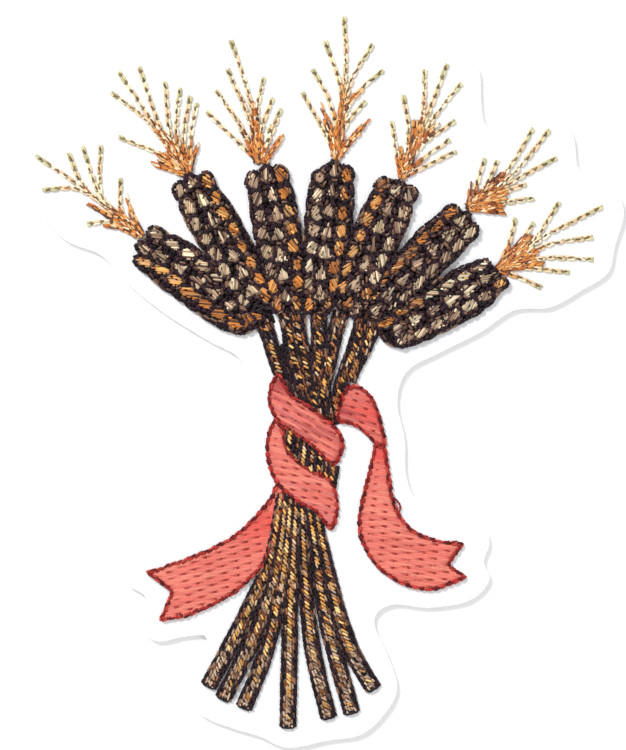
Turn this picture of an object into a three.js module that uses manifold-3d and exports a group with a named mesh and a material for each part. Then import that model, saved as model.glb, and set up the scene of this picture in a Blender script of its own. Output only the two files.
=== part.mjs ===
// Embroidered wheat sheaf appliqué: seven wheat ears with awns on a bunch of
// stalks tied with a ribbon, sewn in thread on a cloth that is cut close
// round the design and backed with stabiliser.
//
// Millimetres. The appliqué lies flat, right side up: +Z is out of the cloth
// and +Y is towards the awns. The origin is at the middle of its underside.
// Each sewn area is a plain raised solid with the outline and the height of
// its stitches.
import * as THREE from 'three';
import { mergeVertices } from 'three/addons/utils/BufferGeometryUtils.js';
import Module from 'manifold-3d';

// Driving dimensions.
const BACKING_THICKNESS = 0.5;
const CLOTH_THICKNESS = 0.5;
const EAR_HEIGHT = 1.25;
const STALK_HEIGHT = 1.0;
const RIBBON_HEIGHT = 0.75;
const AWN_HEIGHT = 0.5;
const GAP = 0.3; // between neighbouring sewn areas
const STALK_HALF_WIDTH = 1.1;
const AWN_HALF_WIDTH = 0.28;
const AWN_ROOT_RADIUS = 0.6;
const LEAST_HALF_WIDTH = 0.4; // at the very ends of an ear

const CLOTH_TOP = BACKING_THICKNESS + CLOTH_THICKNESS;

// Each ear: the middle of its tip, the middle of its base, half its width
// and how far its middle bows to the left, seen from the tip.
const EARS = [
  { tip: [-24.9, 18.3], base: [-8.9, 6.2], half: 4.1, bow: 0.2 },
  { tip: [-18.9, 27.1], base: [-8.0, 8.2], half: 3.75, bow: 0.4 },
  { tip: [-7.8, 28.9], base: [-4.4, 8.2], half: 3.65, bow: 0.2 },
  { tip: [1.9, 29.5], base: [-0.6, 7.6], half: 3.65, bow: 0.1 },
  { tip: [11.4, 26.9], base: [3.2, 8.1], half: 3.8, bow: -0.2 },
  { tip: [20.7, 22.0], base: [6.8, 7.9], half: 3.6, bow: -0.3 },
  { tip: [25.1, 14.1], base: [8.2, 4.9], half: 3.9, bow: 0.2 },
];
// Lower numbers are sewn over their neighbours.
const EAR_LAYER = [3, 2, 1, 0, 1, 3, 2];
const EAR_ROWS = 7;
const EAR_SCALLOP = 0.18;
const EAR_BLUNTNESS = 0.45; // from 0, square ends, to 1, pointed ones
const EAR_TAPER = 0.15; // how much narrower an ear is at its base

// Awns of each ear: where they meet, then for each hair its tip and the
// point that it passes on its way to the root.
const AWNS = [
  { root: [-25.6, 19.5], hairs: [
    [-39.5, 30.1, -32.3, 25.1], [-34.9, 30.5, -32.4, 25.4], [-38.6, 25.3, -33.0, 25.0],
    [-33.0, 31.4, -30.4, 24.5], [-30.5, 31.6, -29.9, 23.9], [-27.8, 27.0, -27.6, 22.2],
    [-26.7, 25.1, -26.0, 21.5], [-32.4, 23.3, -28.5, 21.3], [-32.5, 20.6, -28.9, 20.6]] },
  { root: [-18.8, 28.2], hairs: [
    [-28.1, 41.8, -23.7, 35.3], [-25.2, 42.4, -22.3, 34.2], [-29.1, 38.8, -24.0, 34.2],
    [-21.6, 40.4, -20.8, 32.8], [-19.5, 39.5, -19.9, 33.4], [-18.1, 38.5, -19.0, 33.0],
    [-17.2, 37.4, -18.0, 32.7], [-16.8, 32.0, -17.6, 30.0], [-28.1, 32.7, -23.0, 30.6],
    [-23.3, 28.9, -20.8, 28.5], [-22.9, 33.9, -20.6, 30.9]] },
  { root: [-8.5, 29.9], hairs: [
    [-12.5, 46.1, -9.8, 38.1], [-14.0, 42.8, -10.3, 35.7], [-14.9, 39.5, -11.0, 33.8],
    [-15.9, 36.3, -11.5, 32.2], [-7.9, 41.0, -8.7, 35.7], [-6.6, 38.2, -7.9, 33.9],
    [-5.5, 36.7, -7.4, 32.0], [-4.7, 33.5, -6.9, 31.2], [-11.2, 33.9, -9.9, 31.5]] },
  { root: [2.2, 30.6], hairs: [
    [3.2, 49.4, 3.1, 41.7], [0.6, 46.0, 2.6, 38.6], [7.2, 45.6, 3.7, 38.9],
    [-1.2, 42.1, 1.5, 36.5], [8.6, 42.0, 4.3, 36.9], [-2.6, 38.9, 0.7, 33.5],
    [6.2, 37.7, 3.6, 34.3], [6.9, 35.2, 4.0, 32.9], [-0.1, 37.7, 1.2, 34.0],
    [6.5, 33.9, 4.0, 32.0]] },
  { root: [11.5, 27.9], hairs: [
    [14.4, 42.1, 13.6, 34.3], [17.5, 42.8, 14.7, 35.6], [19.5, 40.2, 15.1, 34.3],
    [11.4, 38.5, 12.0, 33.0], [9.8, 34.9, 10.7, 31.2], [18.7, 35.0, 14.4, 31.3],
    [13.0, 35.0, 12.5, 31.2], [17.9, 32.4, 14.4, 30.0], [18.8, 30.7, 14.4, 28.9]] },
  { root: [21.0, 23.3], hairs: [
    [29.4, 33.9, 25.1, 27.9], [31.7, 33.7, 26.6, 27.6], [32.7, 29.8, 26.9, 26.7],
    [22.7, 29.8, 21.7, 26.0], [24.5, 29.5, 22.7, 25.9], [20.9, 26.8, 20.9, 24.9],
    [28.5, 26.2, 24.3, 24.7], [29.6, 24.2, 24.8, 23.8], [25.6, 22.2, 23.2, 22.7]] },
  { root: [25.8, 14.8], hairs: [
    [27.0, 21.5, 26.4, 18.0], [29.5, 20.9, 27.4, 17.6], [33.0, 23.7, 29.2, 18.3],
    [39.1, 23.1, 31.0, 18.8], [37.7, 18.8, 31.4, 17.4], [37.8, 15.7, 31.0, 15.9],
    [34.5, 13.9, 29.4, 14.6], [30.6, 11.8, 27.9, 13.4], [31.7, 17.5, 28.2, 16.1]] },
];

// Stalks above the tie: where each one's middle crosses two levels.
const UPPER_TOP_Y = 7.6;
const UPPER_TIE_Y = -8.0;
const UPPER_TOP_X = [-8.1, -5.2, -3.2, -0.2, 2.5, 6.0, 8.1];
const UPPER_TIE_X = [-3.4, -2.0, -0.9, -0.1, 0.6, 1.3, 2.1];

// Stalks below the tie: where each one's middle crosses four levels, and its cut end.
const LOWER_LEVELS_Y = [-17.0, -26.0, -34.0, -40.0];
const LOWER_STALKS = [
  { x: [-5.6, -7.1, -10.6, -13.8], end: [-15.8, -43.7] },
  { x: [-4.8, -5.9, -8.3, -10.9], end: [-13.7, -45.5] },
  { x: [-4.1, -4.9, -6.3, -8.1], end: [-10.8, -46.6] },
  { x: [-3.3, -3.8, -4.3, -4.4], end: [-4.6, -49.3] },
  { x: [-2.5, -2.4, -1.9, -0.9], end: [1.1, -48.0] },
  { x: [-1.6, -0.7, 0.6, 2.3], end: [4.4, -47.3] },
  { x: [-0.7, 0.8, 2.6, 5.1], end: [7.5, -44.0] },
];

// How much of the space between two stalks' middles each of them takes.
const STALK_SHARE = 0.43;

// Ribbon outlines. Only the corners of the tail ends are sharp.
const BAND_UPPER = [
  [-5.8, 0.0], [-5.0, -1.6], [-4.1, -3.1], [-2.5, -4.0], [-0.9, -5.1], [0.7, -6.4], [2.1, -7.5],
  [3.0, -8.8], [3.1, -10.4], [2.6, -11.9], [1.6, -12.9], [0.8, -12.3], [-0.6, -10.7],
  [-2.5, -9.2], [-4.3, -8.1], [-6.2, -6.4], [-7.1, -4.8], [-7.3, -3.2], [-6.8, -1.2]];
const BAND_LOWER = [
  [-6.5, -6.8], [-5.5, -7.8], [-5.1, -9.2], [-4.6, -10.7], [-2.9, -12.5], [-1.1, -13.6],
  [0.7, -14.2], [1.7, -15.2], [2.3, -17.0], [2.3, -19.5], [1.5, -21.8], [0.1, -20.3],
  [-1.0, -19.0], [-3.0, -18.0], [-5.0, -16.4], [-6.2, -15.2], [-7.1, -13.2], [-7.5, -11.0],
  [-7.3, -8.4]];
const OPENING = [[-5.0, -8.0], [1.7, -12.9], [2.0, -15.0], [1.3, -15.4], [-4.9, -11.0]];
const LOOP_RIGHT = [
  [2.3, -5.2], [3.2, -2.5], [4.2, -1.7], [5.5, -1.9], [6.9, -3.1], [7.8, -4.9], [8.4, -7.1],
  [8.9, -9.2], [8.8, -10.0], [7.9, -9.9], [6.9, -9.2], [5.6, -7.9], [4.1, -7.0], [2.6, -6.9]];
const TAIL_RIGHT = {
  inner: [[7.6, -10.3], [7.1, -11.5], [6.7, -13.6], [5.7, -17.3], [5.2, -21.0], [6.0, -24.2],
    [8.3, -27.4], [11.9, -29.5], [15.8, -30.0], [20.3, -28.2]],
  notch: [17.6, -26.6],
  outer: [[19.8, -23.6], [15.7, -23.1], [13.3, -22.1], [10.9, -19.7], [9.7, -16.0],
    [9.3, -12.8], [9.0, -10.4]],
};
const TAIL_LEFT = {
  inner: [[-4.9, -16.7], [-8.3, -19.2], [-11.6, -22.2], [-15.6, -24.5], [-19.8, -26.2],
    [-24.3, -27.6]],
  notch: [-20.6, -30.3],
  outer: [[-22.4, -34.3], [-18.4, -33.6], [-14.7, -32.0], [-11.4, -30.0], [-8.2, -26.8],
    [-6.2, -22.8]],
};

// Edge of the cloth, clockwise from above the middle awns.
const CLOTH_EDGE = [
  [3.2, 52.0], [6.9, 50.2], [9.6, 46.4], [12.0, 44.6], [15.2, 45.4], [18.8, 45.2], [21.8, 42.2],
  [22.2, 38.0], [22.8, 34.4], [25.2, 34.4], [28.4, 36.2], [32.6, 36.0], [35.0, 32.8],
  [35.6, 28.6], [37.6, 26.2], [41.0, 25.0], [42.0, 21.8], [40.8, 17.6], [39.8, 13.8],
  [36.2, 11.4], [31.8, 9.0], [26.8, 8.6], [22.2, 5.6], [16.6, 2.8], [12.0, 0.2], [10.6, -4.0],
  [11.6, -9.0], [11.9, -14.6], [14.0, -18.8], [18.0, -20.4], [21.9, -20.9], [23.4, -23.4],
  [22.6, -26.2], [23.4, -28.8], [20.6, -31.6], [15.0, -32.6], [9.8, -32.2], [7.4, -34.4],
  [9.4, -39.4], [10.6, -43.8], [8.8, -47.4], [5.6, -50.2], [1.0, -51.0], [-4.6, -52.0],
  [-8.6, -50.4], [-12.6, -49.2], [-16.6, -47.4], [-18.8, -43.8], [-17.4, -39.6],
  [-15.8, -36.6], [-18.8, -36.6], [-23.0, -37.2], [-25.4, -34.2], [-24.2, -31.2],
  [-26.9, -29.2], [-26.6, -25.8], [-22.6, -24.6], [-17.6, -22.6], [-13.2, -19.6],
  [-10.4, -15.4], [-9.9, -9.6], [-9.7, -3.4], [-11.2, 1.8], [-15.6, 4.4], [-21.4, 8.0],
  [-26.4, 12.0], [-30.4, 16.2], [-35.2, 18.2], [-38.6, 21.6], [-41.4, 25.4], [-41.8, 29.6],
  [-39.2, 32.8], [-35.6, 33.6], [-32.4, 35.0], [-31.6, 39.2], [-29.8, 43.4], [-25.6, 44.9],
  [-21.2, 43.2], [-18.0, 42.4], [-16.2, 44.8], [-14.2, 48.0], [-11.2, 48.2], [-8.4, 45.2],
  [-5.4, 43.0], [-3.2, 44.8], [-0.8, 49.2]];

// Plane geometry. A point is a THREE.Vector2 and an outline is a closed list of them.
const vec = ([x, y]) => new THREE.Vector2(x, y);
const flat = ({ x, y }) => new THREE.Vector3(x, y, 0);

function smooth(points, count, closed = false) {
  const curve = new THREE.CatmullRomCurve3(points.map((p) => flat(vec(p))), closed, 'centripetal');
  const found = curve.getSpacedPoints(count).map((p) => new THREE.Vector2(p.x, p.y));
  return closed ? found.slice(0, -1) : found;
}

// The unit vectors to the left of a line of points, one at each point.
function leftNormals(points, closed = false) {
  const n = points.length;
  return points.map((p, i) => {
    const before = points[closed ? (i + n - 1) % n : Math.max(i - 1, 0)];
    const after = points[closed ? (i + 1) % n : Math.min(i + 1, n - 1)];
    const along = after.clone().sub(before).normalize();
    return new THREE.Vector2(-along.y, along.x);
  });
}

function grown(outline, by) {
  const side = THREE.ShapeUtils.isClockWise(outline) ? by : -by;
  const normals = leftNormals(outline, true);
  return outline.map((p, i) => p.clone().addScaledVector(normals[i], side));
}

// The outline of a strip along a line of points; halfWidths has one width for each point.
function strip(points, halfWidths) {
  const normals = leftNormals(points);
  const left = points.map((p, i) => p.clone().addScaledVector(normals[i], halfWidths[i]));
  const right = points.map((p, i) => p.clone().addScaledVector(normals[i], -halfWidths[i]));
  return [...left, ...right.reverse()];
}

function circle([x, y], radius, sides = 12) {
  return Array.from({ length: sides }, (_, i) => {
    const angle = (i / sides) * 2 * Math.PI;
    return new THREE.Vector2(x + radius * Math.cos(angle), y + radius * Math.sin(angle));
  });
}

// Solids, cut and joined.
const wasm = await Module();
wasm.setup();

function prism(outline, bottom, height) {
  const options = { depth: height, bevelEnabled: false };
  const raw = new THREE.ExtrudeGeometry(new THREE.Shape(outline), options);
  raw.deleteAttribute('normal');
  raw.deleteAttribute('uv');
  raw.translate(0, 0, bottom);
  const geometry = mergeVertices(raw, 1e-4);
  return new wasm.Manifold(new wasm.Mesh({
    numProp: 3,
    vertProperties: Float32Array.from(geometry.attributes.position.array),
    triVerts: Uint32Array.from(geometry.index.array),
  }));
}

// A cutter that leaves the usual gap round an outline.
const clearance = (outline) => prism(grown(outline, GAP), CLOTH_TOP / 2, 4 * EAR_HEIGHT);

// The largest piece that is left of a solid once the cutters have been taken out.
function trimmed(solid, cutters) {
  const left = cutters.reduce((rest, cutter) => rest.subtract(cutter), solid);
  return left.decompose().reduce((a, b) => (b.volume() > a.volume() ? b : a));
}

const part = new THREE.Group();

function add(name, solid, { color, roughness }) {
  const { numProp, vertProperties, triVerts } = solid.getMesh();
  const corners = new THREE.InterleavedBuffer(Float32Array.from(vertProperties), numProp);
  const geometry = new THREE.BufferGeometry();
  geometry.setAttribute('position', new THREE.InterleavedBufferAttribute(corners, 3, 0));
  geometry.setIndex(Array.from(triVerts));
  const material = new THREE.MeshStandardMaterial({ color, roughness, metalness: 0 });
  const mesh = new THREE.Mesh(geometry, material);
  mesh.name = name;
  part.add(mesh);
}

const FINISH = {
  cloth: { color: 0xf4f5f7, roughness: 0.9 },
  backing: { color: 0xececec, roughness: 0.95 },
  ear: { color: 0x4a2f28, roughness: 0.5 },
  awn: { color: 0xd9bf80, roughness: 0.45 },
  stalk: { color: 0x7a4f22, roughness: 0.5 },
  ribbon: { color: 0xe8665c, roughness: 0.45 },
};

// Cloth and backing.
const clothEdge = smooth(CLOTH_EDGE, 3 * CLOTH_EDGE.length, true);
add('backing', prism(clothEdge, 0, BACKING_THICKNESS), FINISH.backing);
add('ground_cloth', prism(clothEdge, BACKING_THICKNESS, CLOTH_THICKNESS), FINISH.cloth);

// Ears: blunt at the tip, rounded at the base, with a scallop for each row of grains.
function earOutline({ tip, base, half, bow }) {
  const [from, to] = [vec(tip), vec(base)];
  const along = to.clone().sub(from).normalize();
  const left = new THREE.Vector2(-along.y, along.x);
  const middle = from.clone().lerp(to, 0.5).addScaledVector(left, bow);
  const axis = new THREE.QuadraticBezierCurve(
    from, middle.multiplyScalar(2).sub(from.clone().lerp(to, 0.5)), to);
  const steps = 4 * EAR_ROWS;
  const at = Array.from({ length: steps + 1 }, (_, i) => (1 - Math.cos((i / steps) * Math.PI)) / 2);
  const widths = at.map((t) => {
    const rounded = (1 - Math.abs(1 - 2 * t) ** 4) ** EAR_BLUNTNESS;
    const scallop = EAR_SCALLOP * Math.abs(Math.sin(t * EAR_ROWS * Math.PI));
    const width = rounded * (half - EAR_SCALLOP + scallop) * (1 - EAR_TAPER * t);
    return Math.max(width, LEAST_HALF_WIDTH);
  });
  return strip(at.map((t) => axis.getPoint(t)), widths);
}
const earOutlines = EARS.map(earOutline);
EARS.forEach((ear, i) => {
  const inFront = [i - 1, i + 1].filter((j) => EARS[j] && EAR_LAYER[j] < EAR_LAYER[i]);
  const solid = trimmed(
    prism(earOutlines[i], CLOTH_TOP, EAR_HEIGHT), inFront.map((j) => clearance(earOutlines[j])));
  add(`ear_${i + 1}`, solid, FINISH.ear);
});
const earClearances = earOutlines.map(clearance);

// Awns: thin lines of stitches that meet at the tip of their ear.
AWNS.forEach(({ root, hairs }, i) => {
  const lines = hairs.map(([tipX, tipY, onWayX, onWayY]) => {
    const path = smooth([[tipX, tipY], [onWayX, onWayY], root], 5);
    return prism(strip(path, path.map(() => AWN_HALF_WIDTH)), CLOTH_TOP, AWN_HEIGHT);
  });
  const start = prism(circle(root, AWN_ROOT_RADIUS), CLOTH_TOP, AWN_HEIGHT);
  const joined = lines.reduce((all, line) => all.add(line), start);
  add(`awns_${i + 1}`, trimmed(joined, earClearances), FINISH.awn);
});

// Ribbon.
const ribbonCurve = (points, closed) => smooth(points, 2 * points.length, closed);
const bandUpper = ribbonCurve(BAND_UPPER, true);
const bandLower = ribbonCurve(BAND_LOWER, true);
const loopRight = ribbonCurve(LOOP_RIGHT, true);
const tail = ({ inner, notch, outer }) => [
  ...ribbonCurve(inner, false), vec(notch), ...ribbonCurve(outer, false)];
const tailRight = tail(TAIL_RIGHT);
const tailLeft = tail(TAIL_LEFT);
const ribbon = (name, outline, cutters) => add(
  name, trimmed(prism(outline, CLOTH_TOP, RIBBON_HEIGHT), cutters), FINISH.ribbon);

// Stalks. Each is as wide as the space to its neighbours allows, up to its full width.
function bunch(middles, ends) {
  return middles.map((line, i) => {
    const roomy = line.map((p, k) => {
      const spaces = [i - 1, i + 1].filter((j) => middles[j])
        .map((j) => Math.abs(middles[j][k].x - p.x) * STALK_SHARE - GAP / 2);
      return Math.min(STALK_HALF_WIDTH, ...spaces);
    });
    const end = ends?.[i];
    return end ? strip([...line, vec(end)], [...roomy, roomy.at(-1)]) : strip(line, roomy);
  });
}
const upperStalks = bunch(UPPER_TOP_X.map((x, i) => (
  [vec([x, UPPER_TOP_Y]), vec([UPPER_TIE_X[i], UPPER_TIE_Y])])));
const lowerStalks = bunch(
  LOWER_STALKS.map(({ x }) => x.map((across, k) => vec([across, LOWER_LEVELS_Y[k]]))),
  LOWER_STALKS.map(({ end }) => end));
const stalk = (name, outline, cutters) => add(
  name, trimmed(prism(outline, CLOTH_TOP, STALK_HEIGHT), cutters), FINISH.stalk);

ribbon('ribbon_band_upper', bandUpper, []);
ribbon('ribbon_band_lower', bandLower, [clearance(bandUpper)]);
ribbon('ribbon_loop_right', loopRight, [clearance(bandUpper)]);
ribbon('ribbon_tail_right', tailRight, [clearance(loopRight)]);
ribbon('ribbon_tail_left', tailLeft, [clearance(bandLower), clearance(lowerStalks[0])]);
upperStalks.forEach((outline, i) => {
  const inFront = [clearance(bandUpper), clearance(loopRight), ...earClearances];
  stalk(`stalk_upper_${i + 1}`, outline, inFront);
});
stalk('stalks_between_bands', OPENING.map(vec), [clearance(bandUpper), clearance(bandLower)]);
lowerStalks.forEach((outline, i) => {
  stalk(`stalk_lower_${i + 1}`, outline, [clearance(bandLower)]);
});

export default part;
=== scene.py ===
"""Embroidered wheat sheaf appliqué. Every stitch is a length of thread of its own.

The design is drawn in millimetres in the frame's own plane: +Y runs towards the
awns and +Z out of the stitched face. Meshes are written in metres.
"""
import math

import bpy
import numpy as np
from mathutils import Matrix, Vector, geometry


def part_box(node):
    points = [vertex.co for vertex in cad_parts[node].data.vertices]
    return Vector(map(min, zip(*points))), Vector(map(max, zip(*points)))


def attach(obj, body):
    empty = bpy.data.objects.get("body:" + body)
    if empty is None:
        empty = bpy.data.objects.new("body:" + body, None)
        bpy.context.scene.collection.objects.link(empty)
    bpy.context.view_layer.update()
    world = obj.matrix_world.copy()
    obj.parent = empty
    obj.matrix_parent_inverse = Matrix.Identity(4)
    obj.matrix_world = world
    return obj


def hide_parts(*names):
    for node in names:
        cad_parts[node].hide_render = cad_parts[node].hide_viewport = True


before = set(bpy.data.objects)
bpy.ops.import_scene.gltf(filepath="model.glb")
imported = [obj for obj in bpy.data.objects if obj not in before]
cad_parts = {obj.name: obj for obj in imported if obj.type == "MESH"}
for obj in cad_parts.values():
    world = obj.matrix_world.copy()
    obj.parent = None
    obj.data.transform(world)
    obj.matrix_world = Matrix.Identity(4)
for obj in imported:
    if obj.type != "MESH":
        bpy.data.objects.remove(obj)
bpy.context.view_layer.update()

MM = 0.001
BODY = "root"
rng = np.random.default_rng(7)


def cad_levels(node_name):
    """The lowest and the highest level of a CAD node, in millimetres."""
    low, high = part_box(node_name)
    return low[2] / MM, high[2] / MM


BACKING_BOTTOM, BACKING_TOP = cad_levels("backing")
CLOTH_TOP = cad_levels("ground_cloth")[1]

# ---------------- camera, light

FRAME_HEIGHT = 103.9  # what the picture takes in from top to bottom
FRAME_CENTRE = (-1.1, -0.3)
LENS, SENSOR = 200.0, 36.0
CLIPPING = (0.01, 10)  # in metres
SKY_STRENGTH = 0.66
# Each light's name, place, size and power. The places and sizes are in metres.
LIGHTS = [("key", (-0.35, 0.45, 0.6), 0.3, 5.6), ("fill", (0.5, -0.3, 0.6), 0.5, 1.6)]


def linked(name, data):
    """A new object of the scene."""
    made = bpy.data.objects.new(name, data)
    bpy.context.scene.collection.objects.link(made)
    return made


def make_camera():
    data = bpy.data.cameras.new("camera")
    data.lens = LENS
    data.sensor_width = SENSOR
    data.clip_start, data.clip_end = CLIPPING
    camera = linked("camera", data)
    distance = LENS * FRAME_HEIGHT / SENSOR
    camera.location = [v * MM for v in (*FRAME_CENTRE, distance + CLOTH_TOP)]
    bpy.context.scene.camera = camera


def area_light(name, place, size, power):
    data = bpy.data.lights.new(name, "AREA")
    data.shape = "DISK"
    data.size = size
    data.energy = power
    light = linked(name, data)
    light.location = place
    light.rotation_euler = (-Vector(place)).to_track_quat("-Z", "Y").to_euler()


def make_light():
    world = bpy.data.worlds.new("studio")
    world.use_nodes = True
    background = world.node_tree.nodes["Background"].inputs
    background["Color"].default_value = (1.0, 1.0, 1.0, 1.0)
    background["Strength"].default_value = SKY_STRENGTH
    bpy.context.scene.world = world
    for values in LIGHTS:
        area_light(*values)
    bpy.context.scene.view_settings.view_transform = "Standard"


# ---------------- materials

def linear(code):
    """A linear colour from a hex code such as "e8665c"."""
    parts = [int(code[i:i + 2], 16) / 255 for i in (0, 2, 4)]
    return np.array([c / 12.92 if c <= 0.04045 else ((c + 0.055) / 1.055) ** 2.4 for c in parts])


def colours_from(codes):
    """Linear colours from hex codes with spaces between them."""
    return [linear(code) for code in codes.split()]


def node(tree, kind, output, inputs=None, **settings):
    """Makes a shader node and gives one of its outputs. An input is a value or another node's output."""
    made = tree.nodes.new("ShaderNode" + kind)
    for key, value in settings.items():
        setattr(made, key, value)
    for key, value in (inputs or {}).items():
        if isinstance(value, bpy.types.NodeSocket):
            tree.links.new(value, made.inputs[key])
        else:
            made.inputs[key].default_value = value
    return made.outputs[output]


def ramp(tree, factor, low, high):
    """A colour that goes from low to high with the factor."""
    made = tree.nodes.new("ShaderNodeValToRGB")
    tree.links.new(factor, made.inputs["Fac"])
    for element, colour in zip(made.color_ramp.elements, (low, high)):
        element.color = (*colour, 1)
    return made.outputs["Color"]


def new_material(name, finish, texture=None, strength=0.0, depth=0.0):
    """A material. finish holds the shader's own values.

    texture(tree) gives its colour and the height of its bump, which is depth metres deep.
    """
    material = bpy.data.materials.new(name)
    material.use_nodes = True
    tree = material.node_tree
    shader = tree.nodes["Principled BSDF"]
    for key, value in finish.items():
        shader.inputs[key].default_value = value
    if texture:
        colour, height = texture(tree)
        bump = node(tree, "Bump", "Normal", {"Height": height, "Strength": strength, "Distance": depth})
        tree.links.new(colour, shader.inputs["Base Color"])
        tree.links.new(bump, shader.inputs["Normal"])
    return material


def thread_texture(tree):
    """Rayon thread: each stitch's own colour, and fine fibres that wind round it."""
    colour = node(tree, "Attribute", "Color", attribute_name="stitch_colour")
    along = node(tree, "UVMap", "UV", uv_map="Thread")
    fibres = node(tree, "Mapping", "Vector", {"Vector": along, "Scale": (1.6, 9.0, 1.0)})
    grain = node(tree, "TexNoise", "Fac",
                 {"Vector": fibres, "Scale": 1.0, "Detail": 3.0, "Roughness": 0.6})
    shade = node(tree, "MapRange", "Result",
                 {"Value": grain, "From Min": 0.3, "From Max": 0.7, "To Min": 0.75, "To Max": 1.18})
    return node(tree, "VectorMath", "Vector", {0: colour, "Scale": shade}, operation="SCALE"), grain


def twill_texture(tree):
    """White cotton twill: diagonal ribs crossed by single yarns, with a little unevenness."""
    place = node(tree, "TexCoord", "Object")
    ribs = node(tree, "TexWave", "Fac",
                {"Vector": place, "Scale": 720.0, "Distortion": 0.6, "Detail": 1.0, "Detail Scale": 2.0},
                bands_direction="DIAGONAL")
    yarns = node(tree, "TexWave", "Fac",
                 {"Vector": place, "Scale": 900.0, "Distortion": 0.8, "Detail": 1.0},
                 bands_direction="X")
    weave = node(tree, "Math", "Value", {0: ribs, 1: yarns}, operation="MULTIPLY")
    height = node(tree, "Math", "Value", {0: ribs, 1: weave}, operation="ADD")
    blotch = node(tree, "TexNoise", "Fac", {"Vector": place, "Scale": 160.0, "Detail": 4.0})
    return ramp(tree, blotch, (0.86, 0.875, 0.90), (0.93, 0.935, 0.94)), height


def felt_texture(tree):
    """Non-woven stabiliser: pressed white fibres that lie every way."""
    place = node(tree, "TexCoord", "Object")
    fibres = node(tree, "TexNoise", "Fac",
                  {"Vector": place, "Scale": 1400.0, "Detail": 6.0, "Distortion": 2.5})
    clumps = node(tree, "TexNoise", "Fac", {"Vector": place, "Scale": 260.0, "Detail": 3.0})
    height = node(tree, "Math", "Value", {0: fibres, 1: clumps}, operation="ADD")
    return ramp(tree, clumps, (0.78, 0.78, 0.77), (0.9, 0.9, 0.89)), height


def thread_material(name, roughness, gloss, sheen):
    finish = {"Roughness": roughness, "Specular IOR Level": gloss, "Sheen Weight": sheen,
              "Sheen Roughness": 0.4}
    return new_material(name, finish, thread_texture, strength=0.35, depth=0.00006)


# ---------------- lines in the plane

CURVE_STEPS = 24  # between two of a curve's given points


def curve(points, step=0.25, closed=False):
    """Points about step apart on a smooth line through the given ones."""
    p = np.asarray(points, float)
    if closed:
        p = np.vstack([p[-1:], p, p[:2]])
    else:
        p = np.vstack([2 * p[0] - p[1], p, 2 * p[-1] - p[-2]])
    t = np.linspace(0, 1, CURVE_STEPS, endpoint=False)[:, None]
    pieces = []
    for a, b, c, d in zip(p, p[1:], p[2:], p[3:]):
        pieces.append(0.5 * (2 * b + (c - a) * t + (2 * a - 5 * b + 4 * c - d) * t ** 2
                             + (3 * b - a - 3 * c + d) * t ** 3))
    line = np.vstack([*pieces, p[-2:-1]])
    return spaced(line, step)


def run_of(line):
    """How far along the line each of its points is."""
    return np.concatenate([[0], np.cumsum(np.linalg.norm(np.diff(line, axis=0), axis=1))])


def along(line, at):
    """The points of the line that are those distances along it."""
    run = run_of(line)
    return np.stack([np.interp(at, run, line[:, k]) for k in (0, 1)], 1)


def spaced(line, step):
    """The same line with its points an even distance apart, as near to step as fits."""
    total = run_of(line)[-1]
    count = max(int(round(total / step)), 1)
    return along(line, np.linspace(0, total, count + 1))


def left_of(line):
    """The unit vector to the left of the line at each of its points."""
    ahead = np.gradient(line, axis=0)
    ahead /= np.maximum(np.linalg.norm(ahead, axis=1, keepdims=True), 1e-9)
    return np.stack([-ahead[:, 1], ahead[:, 0]], 1)


def signed_area(ring):
    """The area inside a ring of points, which is negative where they run clockwise."""
    x, y = ring.T
    return float(np.sum(x * np.roll(y, -1) - np.roll(x, -1) * y) / 2)


def ring_side(ring):
    """+1 where the inside of a ring is to its left, -1 where it is to its right."""
    return 1 if signed_area(ring) > 0 else -1


def closed_ring(outline):
    return np.vstack([outline, outline[:1]])


def unit(vector):
    return vector / np.linalg.norm(vector)


def turned_by(points, angle):
    c, s = math.cos(angle), math.sin(angle)
    return points @ np.array([[c, s], [-s, c]])


def shaken(points, amount):
    """The points, each a little out of its place."""
    return points + rng.normal(0, amount, points.shape)


def inside(outline, points):
    """For each point, whether it lies inside the closed outline."""
    x, y = np.asarray(points, float).T
    found = np.zeros(len(x), bool)
    for (ax, ay), (bx, by) in zip(outline, np.roll(outline, -1, axis=0)):
        crosses = (ay > y) != (by > y)
        if ay != by:
            found ^= crosses & (x < (bx - ax) * (y - ay) / (by - ay) + ax)
    return found


def crossings(outline, y):
    """The stretches of the level line at y that lie inside an outline."""
    a, b = outline, np.roll(outline, -1, axis=0)
    hit = (a[:, 1] > y) != (b[:, 1] > y)
    a, b = a[hit], b[hit]
    xs = np.sort(a[:, 0] + (y - a[:, 1]) / (b[:, 1] - a[:, 1]) * (b[:, 0] - a[:, 0]))
    return list(zip(xs[0::2], xs[1::2]))


# ---------------- stitches

THREAD = 0.2  # half the width of a 40-weight thread
FLATTENED = 0.8  # its height over its width
SIDES = 8
PLY_DEPTH = 0.1
PLY_TURN = 1.5  # length of thread in which its two plies go once round
RING_STEP = 0.22
MIN_RINGS, MAX_RINGS = 6, 14  # of vertices along a stitch
STAGGER = 3  # rows of a filling until the needle points are where they were
KNOT_SHAKE = 0.04
END_BLUNTNESS = 5  # how suddenly a stitch's ends narrow and dive
END_WIDTH = 0.6  # over the width of its middle
DIVE = 1.1  # how far its ends go down, over half its width
CELL_MARGIN = 0.08  # round each stitch's own square of the second UV map
FIBRE_SHIFT = 3.7  # between two stitches' places in the fibre texture
DARK = 0.035  # below this a thread is one of the dark ones


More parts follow.
